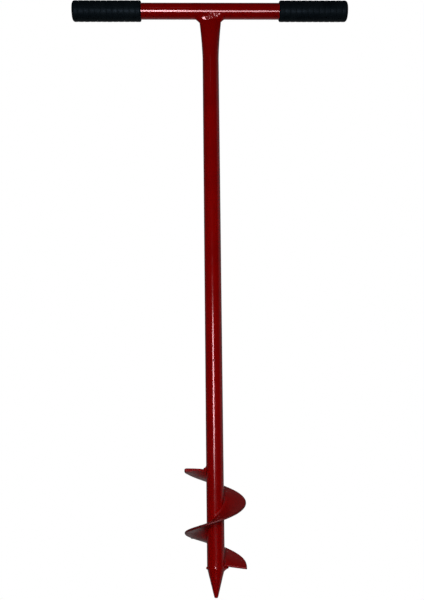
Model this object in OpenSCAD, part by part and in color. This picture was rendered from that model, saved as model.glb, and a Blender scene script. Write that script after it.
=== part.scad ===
// Hand earth auger with a T handle: a welded steel tool, turned by hand to bore holes for fence posts.
// Frame: the origin is the tip of the point on the shaft's axis, +Z runs up the shaft, X along the
// crossbar. A right-hand blade climbs anticlockwise, seen from above, from its leading edge near +X.

/* [Whole tool] */
// Height from the tip of the point to the top of the crossbar
total_h = 1000; // [800:10:1200]
// Outside diameter of the tube that the shaft and the crossbar are cut from
tube_d = 28; // [26:0.5:30]
// Wall thickness of that tube
tube_wall = 2; // [1.5:0.1:2.5]

/* [Handle] */
// Length of the handle over both grips
handle_l = 482; // [420:2:560]
// Length of one grip
grip_l = 120; // [100:1:140]
// Outside diameter of a grip
grip_d = 36; // [34:0.5:40]
// Thickness of a grip's closed end
grip_end = 4; // [3:0.5:6]
// Number of ring grooves round a grip
groove_count = 11; // [5:1:13]

/* [Flattened neck] */
// Length of the shaft below the crossbar that is squeezed flat
neck_l = 77; // [60:1:100]
// Width of the squeezed shaft where it meets the crossbar
neck_w = 39.2; // [34:0.2:40]

/* [Flight] */
// Diameter of the hole that the blade cuts
flight_d = 98; // [90:1:110]
// Height that the blade climbs in one turn
flight_pitch = 98; // [90:1:110]
// Angle that the blade goes round the shaft, in degrees
flight_span = 552; // [450:4:720]
// Angle from the crossbar's right arm forward to the blade's leading edge, in degrees
flight_lead = 6; // [0:1:20]
// Thickness of the blade
flight_t = 4; // [3:0.5:4]
// Height of the middle of the blade at its leading edge
flight_z = 47.2; // [47.2:0.1:60]
// How far the outer corner of the leading edge is bent down
lip_drop = 2.5; // [0:0.5:4]

/* [Point] */
// Length of the cone that closes the bottom of the shaft
point_l = 45; // [35:1:46]
// Diameter of the cone's blunt tip
tip_d = 5.4; // [3:0.2:8]

/* [Welds] */
// Leg of the bead between the blade and the shaft
root_leg = 3.5; // [2:0.5:5]
// Leg of the bead between the neck and the crossbar
joint_leg = 7; // [4:0.5:8]
// Radius of the bead between the point and the shaft
ring_r = 1.8; // [1:0.1:2]

/* [Hidden] */

red = [0.62, 0.04, 0.03];
black = [0.07, 0.08, 0.09];
$fn = 96;

tube_r = tube_d / 2;
bar_z = total_h - tube_r;
bar_l = handle_l - 2 * grip_end;

neck_z = bar_z - tube_r - neck_l;
neck_sides = 36;
neck_rings = 9;
// The neck's walls end this far above the crossbar's underside, before the crossbar's shape is cut away
neck_lap = 8;
// Keeps the facets of the neck just inside the round tube that they join
seam = 0.02;

step = 4;
blade_steps = flight_span / step;
blade_r = flight_d / 2;
// The blade's strips start inside the shaft, and the shaft's round shape is cut from them
blade_radii = [tube_r - 1, 27, blade_r];
lip_span = 24;

// Walls of a swept body: every ring is joined to the next, and the last to the first when closed
function walls(rings, n, closed = false) = [
    for (i = [0 : rings - (closed ? 1 : 2)], j = [0 : n - 1], half = [0, 1])
        let (a = i * n + j,
             b = i * n + (j + 1) % n,
             c = (i + 1) % rings * n + j,
             d = (i + 1) % rings * n + (j + 1) % n)
        half == 0 ? [a, d, b] : [a, c, d]
];

module swept(rings, closed = false) {
    n = len(rings[0]);
    m = len(rings);
    ends = closed ? [] : [[for (j = [0 : n - 1]) j], [for (j = [n - 1 : -1 : 0]) (m - 1) * n + j]];
    polyhedron([for (ring = rings) each ring], concat(walls(m, n, closed), ends));
}

// The neck keeps the length of the tube's wall: it grows wider by `spread` and a little more than that thinner
function spread(z) = (neck_w / 2 - tube_r) * pow(max(z - neck_z, 0) / neck_l, 1.55);
function neck_half_w(z) = tube_r + spread(z);
function neck_half_d(z) = tube_r - spread(z) - 0.68 * spread(z) * spread(z) / (tube_r - tube_wall / 2);

function neck_ring(z, inset) = [
    for (i = [0 : neck_sides - 1])
        let (a = i * 360 / neck_sides)
        [(neck_half_w(z) - inset) * cos(a), (neck_half_d(z) - inset) * sin(a), z]
];

module neck_shape(inset, below = 0, above = 0) {
    top = bar_z - tube_r + neck_lap;
    swept([
        for (i = [0 : neck_rings])
            let (low = i == 0 ? below : 0, high = i == neck_rings ? above : 0)
            [for (p = neck_ring(neck_z + i * (top - neck_z) / neck_rings, inset)) p + [0, 0, high - low]]
    ]);
}

module bar_shape(r, length) {
    translate([0, 0, bar_z]) rotate([0, 90, 0]) cylinder(r = r, h = length, center = true);
}

module crossbar() {
    color(red) difference() {
        bar_shape(tube_r, bar_l);
        bar_shape(tube_r - tube_wall, bar_l + 2);
    }
}

// One tube: round up to the neck, squeezed flat above it, and cut to sit on the crossbar
module shaft() {
    color(red) difference() {
        union() {
            translate([0, 0, point_l]) difference() {
                cylinder(r = tube_r, h = neck_z - point_l);
                translate([0, 0, -1]) cylinder(r = tube_r - tube_wall, h = neck_z - point_l + 2);
            }
            difference() {
                neck_shape(seam);
                neck_shape(tube_wall - 3 * seam, below = 1, above = 1);
            }
        }
        bar_shape(tube_r, bar_l);
    }
}

// Middle of the blade at an angle from its leading edge, with the lip bent down over its first part
function blade_z(a, r) =
    flight_z + flight_pitch * a / 360
    - lip_drop * pow(max(1 - a / lip_span, 0), 2) * max(r - tube_r, 0) / (blade_r - tube_r);

// Point at an angle from the blade's leading edge
function at(a, r, z) = [r * cos(a - flight_lead), r * sin(a - flight_lead), z];

module blade_shape() {
    rings = [
        for (i = [0 : blade_steps])
            let (a = i * step, inner = blade_radii[0], middle = blade_radii[1], outer = blade_radii[2])
            [at(a, inner, blade_z(a, inner) - flight_t / 2), at(a, inner, blade_z(a, inner) + flight_t / 2),
             at(a, middle, blade_z(a, middle) + flight_t / 2), at(a, outer, blade_z(a, outer) + flight_t / 2),
             at(a, outer, blade_z(a, outer) - flight_t / 2), at(a, middle, blade_z(a, middle) - flight_t / 2)]
    ];
    swept(rings);
}

module flight() {
    color(red) difference() {
        blade_shape();
        cylinder(r = tube_r, h = total_h / 2);
    }
}

module point() {
    color(red) cylinder(r1 = tip_d / 2, r2 = tube_r, h = point_l);
}

// A closed sleeve along +Z, open at its base, with an edge broken at the mouth and shallow ring grooves
module grip_sleeve() {
    r = grip_d / 2;
    corner = 5;
    chamfer = 2.5;
    groove_r = 2.5;
    groove_depth = 0.4;
    groove_pitch = grip_l / (groove_count + 1);
    rotate_extrude() difference() {
        union() {
            square([r, grip_l - corner]);
            square([r - corner, grip_l]);
            translate([r - corner, grip_l - corner]) circle(corner);
        }
        translate([0, -1]) square([tube_r, grip_l - grip_end + 1]);
        polygon([[r - chamfer, 0], [r + 1, chamfer + 1], [r + 1, -1], [r - chamfer, -1]]);
        for (i = [1 : groove_count])
            translate([r + groove_r - groove_depth, i * groove_pitch]) circle(groove_r);
    }
}

module left_grip() {
    color(black) translate([grip_l - handle_l / 2, 0, bar_z]) rotate([0, -90, 0]) grip_sleeve();
}

module right_grip() {
    color(black) translate([handle_l / 2 - grip_l, 0, bar_z]) rotate([0, 90, 0]) grip_sleeve();
}

// Point on the crossbar's skin, at a distance along it and an angle round it from straight down
function on_bar(x, roll) = [x, tube_r * sin(roll), bar_z - tube_r * cos(roll)];

// Bead round the neck under the crossbar: one leg down the neck, one leg out along the crossbar's skin
module handle_weld() {
    bead_steps = 40;
    crown = 1;
    w = neck_half_w(bar_z - tube_r);
    d = neck_half_d(bar_z - tube_r);
    rings = [
        for (i = [0 : bead_steps - 1])
            let (a = i * 360 / bead_steps,
                 foot_x = w * cos(a),
                 foot_roll = asin(d * sin(a) / tube_r),
                 foot = on_bar(foot_x, foot_roll),
                 out = [cos(a) / w, sin(a) / d] / norm([cos(a) / w, sin(a) / d]),
                 leg_roll = out.y * joint_leg / tube_r * 180 / PI,
                 middle = on_bar(foot_x + out.x * joint_leg / 2, foot_roll + leg_roll / 2),
                 toe = on_bar(foot_x + out.x * joint_leg, foot_roll + leg_roll),
                 low_z = foot.z - joint_leg,
                 low = [neck_half_w(low_z) * cos(a), neck_half_d(low_z) * sin(a), low_z])
            [low, foot, middle, toe, (low + toe) / 2 + crown * [out.x, out.y, -1] / 2]
    ];
    color(red) swept(rings, closed = true);
}

// Bead along the top of the blade's root, which swells where it ends round the blade's trailing edge
module flight_weld() {
    sunk = 1;
    swell_span = 20;
    rings = [
        for (i = [0 : blade_steps])
            let (a = i * step,
                 leg = root_leg * (1 + 0.5 * pow(max(1 - (flight_span - a) / swell_span, 0), 2)),
                 z = blade_z(a, tube_r) + flight_t / 2)
            [at(a, tube_r - sunk, z - sunk), at(a, tube_r - sunk, z + leg), at(a, tube_r + 0.2 * leg, z + leg),
             at(a, tube_r + 0.6 * leg, z + 0.6 * leg), at(a, tube_r + leg, z + 0.1 * leg),
             at(a, tube_r + leg, z - sunk)]
    ];
    color(red) difference() {
        swept(rings);
        cylinder(r = tube_r, h = total_h / 2);
        blade_shape();
    }
}

// Tack under the root of the leading edge, down to the cone, which thins out along the blade
module foot_weld() {
    out_leg = 6;
    down_leg = 5.5;
    cone_slope = (tube_r - tip_d / 2) / point_l;
    rings = [
        for (i = [-1 : 5])
            let (a = i * step,
                 size = i < 0 ? 0.5 : 1 - i / 6,
                 top = blade_z(max(a, 0), tube_r) - flight_t / 2,
                 low = top - 0.6 - down_leg * size,
                 low_r = tube_r - cone_slope * max(point_l - low, 0),
                 toe_r = tube_r + 0.6 + out_leg * size)
            [at(a, low_r, low), at(a, tube_r, max(point_l, low + 0.2)), at(a, tube_r, top),
             at(a, toe_r, top), at(a, tube_r + 0.6 * out_leg * size, top - 0.45 * down_leg * size)]
    ];
    color(red) swept(rings);
}

// Ring bead between the tube's end and the cone, which stops on both sides of the tack
module point_weld() {
    gap = 18;
    color(red) rotate([0, 0, gap + 5 - flight_lead]) rotate_extrude(angle = 360 - 2 * gap) difference() {
        translate([tube_r - 0.2, point_l - 0.4]) circle(ring_r);
        translate([0, point_l]) square([tube_r, 10]);
        polygon([[0, 0], [tip_d / 2, 0], [tube_r, point_l], [0, point_l]]);
    }
}

crossbar();
shaft();
flight();
point();
left_grip();
right_grip();
handle_weld();
flight_weld();
foot_weld();
point_weld();
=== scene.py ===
"""Looks of the hand earth auger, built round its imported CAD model.

Everything is in metres and in the CAD frame: the tip of the point is the origin, +Z runs up the shaft
and X runs along the crossbar. Angles along the blade count from its leading edge, anticlockwise from above.
"""

import math

import bmesh
import bpy
from mathutils import Matrix, Vector, noise


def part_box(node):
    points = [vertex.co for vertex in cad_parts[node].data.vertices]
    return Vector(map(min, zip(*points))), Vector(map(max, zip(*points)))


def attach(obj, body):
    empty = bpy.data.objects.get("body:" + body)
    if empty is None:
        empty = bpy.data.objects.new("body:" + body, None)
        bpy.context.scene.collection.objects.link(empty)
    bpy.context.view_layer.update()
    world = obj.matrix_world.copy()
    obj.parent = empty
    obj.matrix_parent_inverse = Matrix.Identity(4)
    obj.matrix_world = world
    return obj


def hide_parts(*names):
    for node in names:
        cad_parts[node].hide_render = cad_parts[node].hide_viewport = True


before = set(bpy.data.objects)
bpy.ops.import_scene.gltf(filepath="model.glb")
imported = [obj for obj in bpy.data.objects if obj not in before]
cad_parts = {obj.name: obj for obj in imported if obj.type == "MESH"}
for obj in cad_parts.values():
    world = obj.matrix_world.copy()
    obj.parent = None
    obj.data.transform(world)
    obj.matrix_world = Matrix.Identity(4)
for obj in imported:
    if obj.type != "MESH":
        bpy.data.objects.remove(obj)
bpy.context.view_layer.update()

MM = 0.001
TAU = 2 * math.pi

# Sizes that the frame gives
bar_low, bar_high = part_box("crossbar")
TUBE_R = (bar_high.z - bar_low.z) / 2
BAR_Z = (bar_high.z + bar_low.z) / 2
BAR_HALF = bar_high.x
SHAFT_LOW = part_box("shaft")[0].z
BLADE_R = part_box("flight")[1].y
TIP_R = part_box("point")[1].x

# Sizes that part.scad also names
TUBE_WALL = 2 * MM
NECK_L = 77 * MM
NECK_W = 39.2 * MM
PITCH = 98 * MM
BLADE_T = 4 * MM
BLADE_Z = 47.2 * MM
BLADE_SPAN = math.radians(552)
BLADE_LEAD = math.radians(6)
LIP_DROP = 2.5 * MM
LIP_SPAN = math.radians(24)
POINT_TIP_R = 2.7 * MM
JOINT_LEG = 7 * MM
ROOT_LEG = 3.5 * MM
RING_R = 1.8 * MM
NECK_Z = BAR_Z - TUBE_R - NECK_L
CONE_SLOPE = (TIP_R - POINT_TIP_R) / SHAFT_LOW

# A ring this close to a square end keeps the smooth normals from bending round it
SUPPORT = 0.2 * MM


# ---------------------------------------------------------------- mesh helpers

def wobble(point, size, seed=0.0):
    """Smooth noise from about -1 to 1, with bumps about `size` across."""
    return noise.noise(point / size + Vector((seed, 2.3 * seed, -1.7 * seed)))


def smooth_step(low, high, value):
    t = min(max((value - low) / (high - low), 0.0), 1.0)
    return t * t * (3 - 2 * t)


def spaced(start, end, count):
    """`count` + 1 even values from start to end."""
    return [start + (end - start) * i / count for i in range(count + 1)]


def skin(name, rings, closed=False):
    """A solid through rings of points. Closed rings join up into a loop, and open ones get flat ends."""
    bm = bmesh.new()
    layers = [[bm.verts.new(p) for p in ring] for ring in rings]
    pairs = list(zip(layers, layers[1:]))
    if closed:
        pairs.append((layers[-1], layers[0]))
    for low, high in pairs:
        for j in range(len(low)):
            k = (j + 1) % len(low)
            bm.faces.new((low[j], low[k], high[k], high[j]))
    if not closed:
        bm.faces.new(layers[0])
        bm.faces.new(layers[-1])
    bmesh.ops.recalc_face_normals(bm, faces=bm.faces)
    mesh = bpy.data.meshes.new(name)
    bm.to_mesh(mesh)
    bm.free()
    mesh.polygons.foreach_set("use_smooth", [True] * len(mesh.polygons))
    piece = bpy.data.objects.new(name, mesh)
    bpy.context.scene.collection.objects.link(piece)
    return piece


def finish_piece(piece, node, material):
    piece.data.materials.append(material)
    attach(piece, "root")
    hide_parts(node)


def circle(count):
    return [(math.cos(TAU * i / count), math.sin(TAU * i / count)) for i in range(count)]


def arc(centre, radius, start, end, count):
    """Points (a, b) on an arc about centre, with angles in degrees."""
    return [
        (centre[0] + radius * math.cos(math.radians(t)), centre[1] + radius * math.sin(math.radians(t)))
        for t in spaced(start, end, count)
    ]


# ---------------------------------------------------------------- materials

class Nodes:
    """Short calls for building one material's node tree."""

    def __init__(self, name):
        self.material = bpy.data.materials.new(name)
        self.material.use_nodes = True
        self.tree = self.material.node_tree
        self.shader = self.tree.nodes["Principled BSDF"]
        self.place = self.tree.nodes.new("ShaderNodeTexCoord").outputs["Object"]

    def link(self, source, target):
        self.tree.links.new(source, target)

    def set(self, **values):
        for name, value in values.items():
            self.shader.inputs[name.replace("_", " ")].default_value = value

    def radius(self):
        """Distance from the shaft's axis."""
        flat = self.tree.nodes.new("ShaderNodeMapping")
        flat.inputs["Scale"].default_value = (1, 1, 0)
        self.link(self.place, flat.inputs["Vector"])
        length = self.tree.nodes.new("ShaderNodeVectorMath")
        length.operation = "LENGTH"
        self.link(flat.outputs["Vector"], length.inputs[0])
        return length.outputs["Value"]

    def noise(self, scale, detail):
        node = self.tree.nodes.new("ShaderNodeTexNoise")
        node.inputs["Scale"].default_value = scale
        node.inputs["Detail"].default_value = detail
        self.link(self.place, node.inputs["Vector"])
        return node.outputs["Fac"]

    def ramp(self, value, low, high, start=0.0, end=1.0):
        """value from low to high becomes start to end, held at both ends."""
        node = self.tree.nodes.new("ShaderNodeMapRange")
        node.interpolation_type = "SMOOTHSTEP"
        self.link(value, node.inputs["Value"])
        for name, number in (("From Min", low), ("From Max", high), ("To Min", start), ("To Max", end)):
            node.inputs[name].default_value = number
        return node.outputs["Result"]

    def mix(self, factor, first, second):
        """Each colour is an (r, g, b) or another node's output."""
        node = self.tree.nodes.new("ShaderNodeMix")
        node.data_type = "RGBA"
        self.link(factor, node.inputs["Factor"])
        for slot, value in ((6, first), (7, second)):
            if isinstance(value, tuple):
                node.inputs[slot].default_value = (*value, 1.0)
            else:
                self.link(value, node.inputs[slot])
        return node.outputs[2]

    def bump(self, height, distance, strength, normal=None):
        node = self.tree.nodes.new("ShaderNodeBump")
        node.inputs["Strength"].default_value = strength
        node.inputs["Distance"].default_value = distance
        self.link(height, node.inputs["Height"])
        if normal is not None:
            self.link(normal, node.inputs["Normal"])
        return node.outputs["Normal"]


RED = (0.205, 0.0008, 0.0004)
RED_DEEP = (0.180, 0.0006, 0.0004)
# Painted shade: a darker red that stands in for shade on the blade's rim
RED_RIM_SHADE = (0.055, 0.0035, 0.0035)
BLACK = (0.0025, 0.0045, 0.0062)
BLACK_PALE = (0.0042, 0.0066, 0.0086)


def red_enamel(name, smoothest, roughest, rim_shade=0.0):
    """Red paint with a faint orange peel. rim_shade is how far painted shade darkens it along the blade's
    rim.
    """
    m = Nodes(name)
    paint = m.mix(m.ramp(m.noise(22, 3), 0.35, 0.65), RED, RED_DEEP)
    # Mask for the painted shade that darkens the paint towards the blade's rim
    at_rim = m.ramp(m.radius(), BLADE_R - 2.2 * MM, BLADE_R - 0.4 * MM, 0.0, rim_shade)
    m.link(m.mix(at_rim, paint, RED_RIM_SHADE), m.shader.inputs["Base Color"])
    m.link(m.ramp(m.noise(70, 3), 0.3, 0.7, smoothest, roughest), m.shader.inputs["Roughness"])
    peel = m.bump(m.noise(420, 1), 0.05 * MM, 0.04)
    m.link(m.bump(m.noise(38, 2), 0.25 * MM, 0.03, peel), m.shader.inputs["Normal"])
    m.set(IOR=1.45, Specular_Tint=(1.0, 0.55, 0.60, 1.0))
    return m.material


def grip_rubber(name):
    """Black moulded rubber, slightly blue, with a fine matt grain."""
    m = Nodes(name)
    m.link(m.mix(m.ramp(m.noise(60, 4), 0.3, 0.7), BLACK, BLACK_PALE), m.shader.inputs["Base Color"])
    m.link(m.ramp(m.noise(110, 3), 0.3, 0.7, 0.38, 0.50), m.shader.inputs["Roughness"])
    m.link(m.bump(m.noise(1400, 2), 0.04 * MM, 0.4), m.shader.inputs["Normal"])
    m.set(IOR=1.45, Specular_IOR_Level=0.045, Specular_Tint=(0.55, 0.75, 1.0, 1.0))
    return m.material


# ---------------------------------------------------------------- tubes and point

def tube_offset(point):
    """Drawn tube under sprayed paint is never quite true."""
    return 0.01 * MM * wobble(point, 45 * MM)


def make_crossbar():
    around = circle(112)
    stations = spaced(-BAR_HALF, BAR_HALF, 120)
    rings = []
    for radius, line in ((TUBE_R, stations), (TUBE_R - TUBE_WALL, stations[::-12])):
        for x in line:
            ring = []
            for c, s in around:
                p = Vector((x, radius * c, BAR_Z + radius * s))
                out = Vector((0, c, s))
                ring.append(p + out * tube_offset(p))
            rings.append(ring)
    return skin("crossbar_tube", rings, closed=True)


def neck_spread(z):
    return (NECK_W / 2 - TUBE_R) * (max(z - NECK_Z, 0) / NECK_L) ** 1.55


def neck_half_w(z):
    return TUBE_R + neck_spread(z)


def neck_half_d(z):
    spread = neck_spread(z)
    return TUBE_R - spread - 0.68 * spread * spread / (TUBE_R - TUBE_WALL / 2)


def saddle_z(y):
    """Height of the underside of the crossbar's skin at a depth y."""
    return BAR_Z - math.sqrt(max(TUBE_R * TUBE_R - y * y, 0))


NICK_X = -1.5 * MM
NICK_Z = 372 * MM


def nick_depth(p):
    """A small knock in the front of the shaft, wider than it is tall."""
    if p.y > 0:
        return 0
    return 0.30 * MM * math.exp(-((p.x - NICK_X) / (3.2 * MM)) ** 2 - ((p.z - NICK_Z) / (0.8 * MM)) ** 2)


def make_shaft():
    """A tube squeezed flat at its neck and cut to sit on the bar. Its rings lie closer round the nick."""
    around = circle(112)
    below_neck = NECK_Z - 20 * MM
    bottom = [SHAFT_LOW]
    bottom += spaced(SHAFT_LOW + SUPPORT, NICK_Z - 3 * MM, 42)
    bottom += spaced(NICK_Z - 2.7 * MM, NICK_Z + 2.7 * MM, 18)
    bottom += spaced(NICK_Z + 3 * MM, below_neck, 66)
    neck = spaced(below_neck, BAR_Z - TUBE_R - 6 * MM, 60)[1:]
    top_share = spaced(0, 1, 6)[1:]
    sunk = 0.4 * MM

    def ring_at(z, inset, share=0.0):
        ring = []
        for c, s in around:
            y = (neck_half_d(z) - inset) * s
            height = z + share * (saddle_z(y) + sunk - z)
            p = Vector(((neck_half_w(height) - inset) * c, y, height))
            ring.append(p + Vector((c, s, 0)) * (tube_offset(p) - nick_depth(p)))
        return ring

    start = neck[-1]
    outer = [ring_at(z, 0) for z in bottom + neck] + [ring_at(start, 0, t) for t in top_share]
    inner = [ring_at(start, TUBE_WALL, t) for t in top_share[::-1]]
    inner += [ring_at(z, TUBE_WALL) for z in (neck[::-6] + bottom[:0:-11] + bottom[:1])]
    return skin("shaft_tube", outer + inner, closed=True)


def make_point():
    """A cone with a blunt, rounded end and slightly uneven sides."""
    around = circle(96)
    edge = 1.2 * MM
    profile = [(0.2 * MM, 0.0)] + [(r, 0.0) for r in spaced(0.8 * MM, POINT_TIP_R - edge, 2)]
    profile += arc((POINT_TIP_R - edge + 0.15 * MM, edge), edge, -80, -14, 6)
    profile += [(POINT_TIP_R + CONE_SLOPE * z, z) for z in spaced(2 * MM, SHAFT_LOW - SUPPORT, 44)]
    profile += [(TIP_R, SHAFT_LOW)]
    profile += [(TIP_R * share, SHAFT_LOW) for share in (0.6, 0.2)]
    rings = []
    for r, z in profile:
        ring = []
        for c, s in around:
            p = Vector((r * c, r * s, z))
            share = smooth_step(0, 4 * MM, z) * smooth_step(0, 2 * MM, SHAFT_LOW - z)
            uneven = 0.12 * MM * wobble(p, 9 * MM) + 0.15 * MM * wobble(p, 22 * MM, 3)
            ring.append(p + Vector((c, s, 0)) * share * uneven)
        rings.append(ring)
    return skin("point_cone", rings)


# ---------------------------------------------------------------- blade

# Only here, and not in part.scad, to bring the blade's edges nearer the photo's: a lean, the sag of the
# trailing corner and a drip at the rim. LEAN_AT is in radians, and DRIP_AT in degrees, as hump() takes it.
LEAN = 1.3 * MM
LEAN_AT = math.radians(130)
SAG = 1.8 * MM
DRIP = 1.0 * MM
DRIP_AT = 149


def blade_z(a, r):
    """Middle of the blade's thickness. The lip is bent down, and the whole blade leans a little."""
    lip = LIP_DROP * max(1 - a / LIP_SPAN, 0) ** 2 * max(r - TUBE_R, 0) / (BLADE_R - TUBE_R)
    lean = LEAN * r / BLADE_R * math.cos(a - BLADE_LEAD - LEAN_AT)
    return BLADE_Z + PITCH * a / TAU - lip + lean


def around_shaft(a, r, z):
    return Vector((r * math.cos(a), r * math.sin(a), z))


def on_blade(a, r, z):
    """Point at an angle from the blade's leading edge."""
    return around_shaft(a - BLADE_LEAD, r, z)


def hump(a, degrees, width):
    """1 at an angle in degrees, falling off to 0 over about `width` degrees each way."""
    return math.exp(-((math.degrees(a) - degrees) / width) ** 2)


def make_flight():
    """A plate with worn edges. Both ends are cut square to it, and its trailing corner is rounded.

    Its underside sags at the trailing corner and has a drip of paint at the rim.
    """
    edge = 1.2 * MM
    rim = 1.85 * MM
    root = TUBE_R - 0.6 * MM
    corner = 3 * MM
    half = BLADE_T / 2
    blend = 0.16

    def square_cut(a, r, z):
        """Turn of a point at a height z off the plate's middle that makes the end faces square."""
        slope = PITCH / (TAU * r)
        share = 1 - smooth_step(0, blend, a)
        turn = slope / (1 + slope ** 2) / r
        at_start = share * (half - z) * turn
        share = 1 - smooth_step(0, blend, BLADE_SPAN - a)
        return at_start - share * (z + half) * turn

    def section_at(a, outer, thin):
        h = half - thin
        e = min(rim, h * 0.95)
        radii = spaced(root, outer - e, 12)
        section = [(r, -h) for r in radii]
        section += arc((outer - e, -h + e), e, -80, 0, 6) + arc((outer - e, h - e), e, 0, 80, 6)
        section += [(r, h) for r in radii[::-1]]
        ring = []
        sag = SAG * smooth_step(BLADE_SPAN - 0.6, BLADE_SPAN - 0.1, a)
        drip = DRIP * hump(a, DRIP_AT, 1.5)
        for r, z in section:
            if z < 0:
                z -= sag * smooth_step(28 * MM, 44 * MM, r) + drip * smooth_step(44 * MM, 48 * MM, r)
            turned = a + square_cut(a, r, z)
            p = on_blade(turned, r, blade_z(turned, r) + z)
            p.z += 0.30 * MM * wobble(p, 40 * MM, 1) * smooth_step(TUBE_R, 26 * MM, r)
            ring.append(p)
        return ring

    def outer_at(a):
        left = max(BLADE_SPAN - a, 0) * BLADE_R
        if left >= corner:
            return BLADE_R
        return BLADE_R - corner + math.sqrt(max(corner ** 2 - (corner - left) ** 2, 0))

    worn = edge / BLADE_R
    start = [(worn * (1 - math.sin(t)), edge * (1 - math.cos(t))) for t in spaced(math.pi / 2, 0.1, 5)]
    body = spaced(1.5 * worn, BLADE_SPAN - corner / BLADE_R, 600)
    body += [BLADE_SPAN - corner / BLADE_R * (1 - math.sin(t)) for t in spaced(0.1, 1.3, 9)]
    rings = [section_at(a, BLADE_R, thin) for a, thin in start]
    rings += [section_at(a, outer_at(a), 0) for a in body]
    last = body[-1]
    for t in spaced(0.3, math.pi / 2, 4):
        a = last + (BLADE_SPAN - last) * math.sin(t)
        rings.append(section_at(a, outer_at(last) - 1.5 * MM * (1 - math.cos(t)), edge * (1 - math.cos(t))))
    return skin("flight_blade", rings)


# ---------------------------------------------------------------- weld beads

def fillet(foot, low, high, out, crown, ripple, lumps, along, seed):
    """Ring of a fillet bead: its root, its toe `low`, a crowned and rippled face, and its toe `high`."""
    ring = [foot, low]
    for i in range(1, 10):
        t = i / 10
        p = low.lerp(high, t)
        wave = ripple * math.sin(TAU * (along + 4 * MM * t) / (4.4 * MM))
        lump = lumps * (wobble(p, 5 * MM, seed) + 0.3 * wobble(p, 2.2 * MM, seed + 5))
        bulge = math.sin(math.pi * t)
        ring.append(p + out * (crown * bulge + (wave + lump) * bulge ** 0.5))
    ring.append(high)
    return ring


def make_handle_weld():
    """Hollow at the two sides of the neck, and a fuller rippled bead across its front and back."""
    w = neck_half_w(BAR_Z - TUBE_R)
    d = neck_half_d(BAR_Z - TUBE_R)
    sunk = 0.15 * MM
    skin_r = TUBE_R - sunk
    steps = 260
    rings = []
    along = 0.0
    previous = None
    for i in range(steps):
        a = TAU * i / steps
        foot_x, foot_y = w * math.cos(a), d * math.sin(a)
        out = Vector((math.cos(a) / w, math.sin(a) / d, 0)).normalized()
        middle = Vector((foot_x, foot_y, saddle_z(foot_y)))
        if previous is not None:
            along += (middle - previous).length
        previous = middle
        full = abs(out.y) ** 2
        leg = JOINT_LEG * (1 - 0.10 * (1 - full) * foot_x / w + 0.05 * wobble(middle, 7 * MM, 11))
        climb = full * (0.30 * foot_x / w + 0.02)
        roll = math.asin(foot_y / TUBE_R) + out.y * leg * (1 + climb) / TUBE_R
        toe = Vector((foot_x + out.x * leg, skin_r * math.sin(roll), BAR_Z - skin_r * math.cos(roll)))
        low_z = middle.z - leg * (1 - climb)
        low = Vector((neck_half_w(low_z) * math.cos(a), neck_half_d(low_z) * math.sin(a), low_z))
        low -= out * sunk
        push = (out + Vector((0, 0, -1))).normalized()
        root = middle - out * 0.8 * MM + Vector((0, 0, 0.8 * MM))
        blob = math.exp(-((foot_x + 0.65 * w) / (5 * MM)) ** 2)
        crown = (0.45 * full + 1.1 * full * blob - 0.2) * MM
        ripple = 0.05 * MM * full
        lumps = (0.05 + 0.24 * full) * MM
        rings.append(fillet(root, low, toe, push, crown, ripple, lumps, along, 2))
    return skin("handle_weld_bead", rings, closed=True)


def make_flight_weld():
    """A hollow bead on top of the blade along its root, fuller towards the trailing end."""
    rings = []
    for a in spaced(0.01, BLADE_SPAN - 0.01, 700):
        left = max(1 - (BLADE_SPAN - a) / 0.35, 0) ** 2
        top = blade_z(a, TUBE_R) + BLADE_T / 2
        leg = ROOT_LEG * (1 + 0.35 * left + 0.08 * wobble(on_blade(a, TUBE_R, top), 8 * MM, 4))
        ends = smooth_step(0, 0.12, a) * 0.6 + 0.4
        low = on_blade(a, TUBE_R - 0.12 * MM, top + leg * ends)
        high = on_blade(a, TUBE_R + leg * ends, blade_z(a, TUBE_R + leg) + BLADE_T / 2 - 0.1 * MM)
        root = on_blade(a, TUBE_R - 0.8 * MM, top - 0.8 * MM)
        push = (on_blade(a, 1, 0) + Vector((0, 0, 1))).normalized()
        rings.append(fillet(root, low, high, push, -1.0 * MM, 0, 0.02 * MM, a * TUBE_R * 1.5, 7))
    return skin("flight_weld_bead", rings)


def make_foot_weld():
    """A short tack under the blade's root that shrinks away from the leading edge."""
    rings = []
    span = math.radians(26)
    for a in spaced(-0.14, span, 60):
        size = math.sqrt(max(1 - (a / 0.15) ** 2, 0.01)) if a < 0 else max(1 - a / span, 0) ** 0.8 + 0.05
        top = blade_z(max(a, 0), TUBE_R) - BLADE_T / 2
        low_z = top - 0.4 * MM - 5.6 * MM * size
        low_r = TUBE_R - CONE_SLOPE * max(SHAFT_LOW - low_z, 0) - 0.15 * MM
        low = on_blade(a, low_r, low_z)
        high = on_blade(a, TUBE_R + 0.4 * MM + 6 * MM * size, top + 0.15 * MM)
        root = on_blade(a, TUBE_R - 1.2 * MM, top + 0.4 * MM)
        push = (on_blade(a, 1, 0) - Vector((0, 0, 1))).normalized()
        rings.append(fillet(root, low, high, push, -0.8 * MM * size, 0, 0.08 * MM * size, a * TUBE_R, 9))
    return skin("foot_weld_tack", rings)


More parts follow.
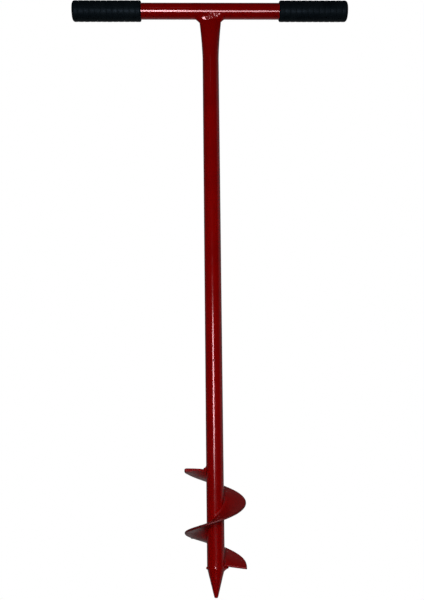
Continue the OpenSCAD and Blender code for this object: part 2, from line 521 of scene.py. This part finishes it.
def make_point_weld():
    """A low ring, with one flattened dab in front that runs up the shaft and a spatter nub on the left."""
    rings = []
    section = circle(28)
    for a in spaced(math.radians(17), math.radians(341), 420):
        nub = hump(a, 184, 5)
        off = math.degrees(a) - 266
        dab = math.exp(-(off / 7) ** 4)
        foot = around_shaft(a, TUBE_R - 0.3 * MM, SHAFT_LOW - 0.1 * MM)
        ring = []
        for c, s in section:
            low = Vector((RING_R * (0.22 * c + 0.9 * nub * max(c, 0)), RING_R * (1.3 * s + 0.2 * nub)))
            low *= 1 + 0.05 * wobble(around_shaft(a, TUBE_R, s * RING_R), 4 * MM, 6)
            low.x += CONE_SLOPE * min(low.y, 0)
            height = (2.9 + 2.1 * s) * MM
            face = (1.4 - 0.21 * height / MM) * MM + 3.5 * MM * math.radians(off) ** 2
            dabbed = Vector((face * min(c / 0.35, 1) if c > 0 else c * MM, height))
            r, z = low.lerp(dabbed, dab)
            ring.append(foot + around_shaft(a, r, z))
        rings.append(ring)
    return skin("point_weld_ring", rings)


# ---------------------------------------------------------------- grips

GRIP_RIBS = 12


def make_grip(name, node, side):
    """Moulded sleeve pushed on the bar, its closed end outwards. side is -1 on the left, 1 on the right."""
    low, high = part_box(node)
    radius = (high.z - low.z) / 2
    inner = low.x if side > 0 else -high.x
    length = high.x - low.x
    around = circle(112)
    corner = 5 * MM
    mouth = 2.6 * MM
    wall_end = 4 * MM
    dome = 0.8 * MM
    centre = 0.6 * MM
    bore_r = TUBE_R - 0.05 * MM

    def rib(s):
        """Shallow scallops with a narrow groove between them, fading out at both ends."""
        share = (s / length * GRIP_RIBS) % 1.0
        groove = math.exp(-(min(share, 1 - share) * length / GRIP_RIBS / (0.9 * MM)) ** 2)
        fade = smooth_step(2 * MM, 7 * MM, s) * smooth_step(2 * MM, 8 * MM, length - s)
        return -fade * (0.28 * MM * groove + 0.10 * MM * (1 - math.sin(math.pi * share)))

    profile = arc((mouth, radius - mouth), mouth, 180, 90, 6)
    profile += [(s, radius + rib(s)) for s in spaced(mouth + 0.3 * MM, length - corner - 0.3 * MM, 230)]
    profile += arc((length - corner, radius - corner), corner, 90, 12, 8)
    flat_r = radius - corner
    profile += [
        (length - 0.07 * MM - dome * (r / flat_r) ** 2, r) for r in spaced(flat_r - 0.3 * MM, centre, 8)
    ]
    bore = [(length - wall_end, centre), (length - wall_end, bore_r), (mouth, bore_r)]
    bore += [(0.4 * MM, TUBE_R + 0.1 * MM)]
    rings = []
    for s, r in bore + profile:
        ring = []
        for c, t in around:
            p = Vector((side * (inner + s), r * c, BAR_Z + r * t))
            swell = smooth_step(TUBE_R + 1 * MM, radius - 1 * MM, r)
            ring.append(p + Vector((0, c, t)) * swell * 0.10 * MM * wobble(p, 14 * MM, 8 + side))
        rings.append(ring)
    return skin(name, rings, closed=True)


# ---------------------------------------------------------------- stage, lights and camera

def make_stage():
    """A white floor that only the camera sees, so it puts no glare on the paint."""
    bm = bmesh.new()
    bmesh.ops.create_circle(bm, cap_ends=True, segments=96, radius=9)
    mesh = bpy.data.meshes.new("floor")
    bm.to_mesh(mesh)
    bm.free()
    floor = bpy.data.objects.new("floor", mesh)
    floor.location.z = -0.3 * MM
    floor.visible_glossy = False
    floor.visible_diffuse = False
    floor.visible_shadow = False
    bpy.context.scene.collection.objects.link(floor)
    m = Nodes("pale_floor")
    m.set(Base_Color=(0, 0, 0, 1), Specular_IOR_Level=0, Emission_Color=(1, 1, 1, 1), Emission_Strength=1)
    mesh.materials.append(m.material)


def make_world():
    """White to the camera. To all else, a studio dark in front, pale behind, and paler right and low."""
    world = bpy.data.worlds.new("studio")
    bpy.context.scene.world = world
    world.use_nodes = True
    nodes, links = world.node_tree.nodes, world.node_tree.links
    place = nodes.new("ShaderNodeTexCoord")
    split = nodes.new("ShaderNodeSeparateXYZ")
    links.new(place.outputs["Generated"], split.inputs[0])

    def fade(axis, low, high, start, end):
        node = nodes.new("ShaderNodeMapRange")
        node.interpolation_type = "SMOOTHSTEP"
        for name, number in (("From Min", low), ("From Max", high), ("To Min", start), ("To Max", end)):
            node.inputs[name].default_value = number
        links.new(split.outputs[axis], node.inputs["Value"])
        return node.outputs["Result"]

    def combine(operation, first, second):
        node = nodes.new("ShaderNodeMath")
        node.operation = operation
        links.new(first, node.inputs[0])
        links.new(second, node.inputs[1])
        return node.outputs["Value"]

    right = combine("MULTIPLY", fade("X", 0.4, 0.95, 0.0, 0.27), fade("Y", -0.4, 0.1, 0.0, 1.0))
    floor = combine("MULTIPLY", fade("Z", -0.1, -0.45, 0.0, 0.42), fade("Y", 0.5, 0.9, 0.0, 1.0))
    strength = combine("ADD", fade("Y", 0.0, 0.5, 0.006, 0.10), combine("ADD", right, floor))
    grey = nodes["Background"]
    grey.inputs["Color"].default_value = (1, 1, 1, 1)
    links.new(strength, grey.inputs["Strength"])
    white = nodes.new("ShaderNodeBackground")
    white.inputs["Color"].default_value = (1, 1, 1, 1)
    rays = nodes.new("ShaderNodeLightPath")
    mix = nodes.new("ShaderNodeMixShader")
    links.new(rays.outputs["Is Camera Ray"], mix.inputs[0])
    links.new(grey.outputs[0], mix.inputs[1])
    links.new(white.outputs[0], mix.inputs[2])
    links.new(mix.outputs[0], nodes["World Output"].inputs["Surface"])


def softbox(name, place, target, size, watts, glossy=True, diffuse=True):
    """A rectangular lamp, `size` wide and tall, that the camera doesn't see."""
    lamp = bpy.data.lights.new(name, "AREA")
    lamp.shape = "RECTANGLE"
    lamp.size, lamp.size_y = size
    lamp.energy = watts
    holder = bpy.data.objects.new(name, lamp)
    bpy.context.scene.collection.objects.link(holder)
    holder.location = place
    holder.rotation_mode = "QUATERNION"
    holder.rotation_quaternion = (Vector(target) - Vector(place)).to_track_quat("-Z", "Y")
    holder.visible_camera = False
    holder.visible_glossy = glossy
    holder.visible_diffuse = diffuse
    return lamp


def fade_by_height(lamp, low, full, high, end):
    """Dims a lamp below `full` and above `high`, down to nothing at `low` and `end`."""
    lamp.use_nodes = True
    nodes, links = lamp.node_tree.nodes, lamp.node_tree.links
    place = nodes.new("ShaderNodeNewGeometry")
    split = nodes.new("ShaderNodeSeparateXYZ")
    links.new(place.outputs["Position"], split.inputs[0])
    both = nodes.new("ShaderNodeMath")
    both.operation = "MULTIPLY"
    for slot, (start, stop) in enumerate(((low, full), (end, high))):
        ramp = nodes.new("ShaderNodeMapRange")
        ramp.interpolation_type = "SMOOTHSTEP"
        ramp.inputs["From Min"].default_value = start
        ramp.inputs["From Max"].default_value = stop
        links.new(split.outputs["Z"], ramp.inputs["Value"])
        links.new(ramp.outputs["Result"], both.inputs[slot])
    links.new(both.outputs["Value"], nodes["Emission"].inputs["Strength"])


def make_lights():
    """The key makes the shaft's highlight. The strip, far off and low, makes the crossbar's, and shows
    faintly low on the shaft. The weak high lamp adds a faint streak just below the neck and one on the
    crossbar's left half. The rest is soft light that nothing mirrors.
    """
    middle = (0, 0, 0.5)
    key = softbox("key", (-0.20, -1.35, 0.375), (0, 0, 0.375), (0.30, 0.66), 21.0)
    fade_by_height(key, 0.07, 0.30, 0.55, 0.685)
    softbox("strip", (0.30, -8.0, -3.15), (0, 0, 0.98), (1.9, 2.2), 320.0, diffuse=False)
    softbox("fill", (0.35, -1.35, 0.10), (0, 0, 0.1), (0.4, 0.6), 3.0, glossy=False)
    softbox("high", (-0.12, -1.35, 1.52), (0, 0, 0.95), (0.16, 0.10), 0.04)
    softbox("side_left", (-1.6, 0.2, 2.6), middle, (0.9, 0.9), 6.0, glossy=False)
    softbox("side_right", (1.6, 0.2, 2.6), middle, (0.9, 0.9), 4.0, glossy=False)
    softbox("behind", (0, 1.9, 0.6), middle, (1.0, 1.0), 34.0, glossy=False)


def make_camera():
    """The photo's camera, fitted to the outline of the shaft, bar, cone and blade."""
    data = bpy.data.cameras.new("camera")
    data.sensor_width = 36
    data.lens = 48.528
    data.clip_start, data.clip_end = 0.02, 60
    camera = bpy.data.objects.new("camera", data)
    bpy.context.scene.collection.objects.link(camera)
    turned, pitch, roll = math.radians(-1.264), math.radians(8.966), math.radians(-0.588)
    camera.matrix_world = (
        Matrix.Translation((-31.1 * MM, -1323.9 * MM, 263.6 * MM))
        @ Matrix.Rotation(turned, 4, "Z")
        @ Matrix.Rotation(math.pi / 2 + pitch, 4, "X")
        @ Matrix.Rotation(roll, 4, "Z")
    )
    bpy.context.scene.camera = camera


enamel = red_enamel("red_enamel", 0.12, 0.16)
# The blade's paint carries painted shade along its rim
dull_enamel = red_enamel("dull_red_enamel", 0.42, 0.52, rim_shade=0.75)
rubber = grip_rubber("grip_rubber")

make_camera()
make_world()
make_stage()
make_lights()

finish_piece(make_crossbar(), "crossbar", enamel)
finish_piece(make_shaft(), "shaft", enamel)
finish_piece(make_point(), "point", enamel)
finish_piece(make_flight(), "flight", dull_enamel)
finish_piece(make_handle_weld(), "handle_weld", enamel)
finish_piece(make_flight_weld(), "flight_weld", dull_enamel)
finish_piece(make_foot_weld(), "foot_weld", dull_enamel)
finish_piece(make_point_weld(), "point_weld", enamel)
finish_piece(make_grip("left_grip_sleeve", "left_grip", -1), "left_grip", rubber)
finish_piece(make_grip("right_grip_sleeve", "right_grip", 1), "right_grip", rubber)

bpy.context.scene.view_settings.view_transform = "Standard"
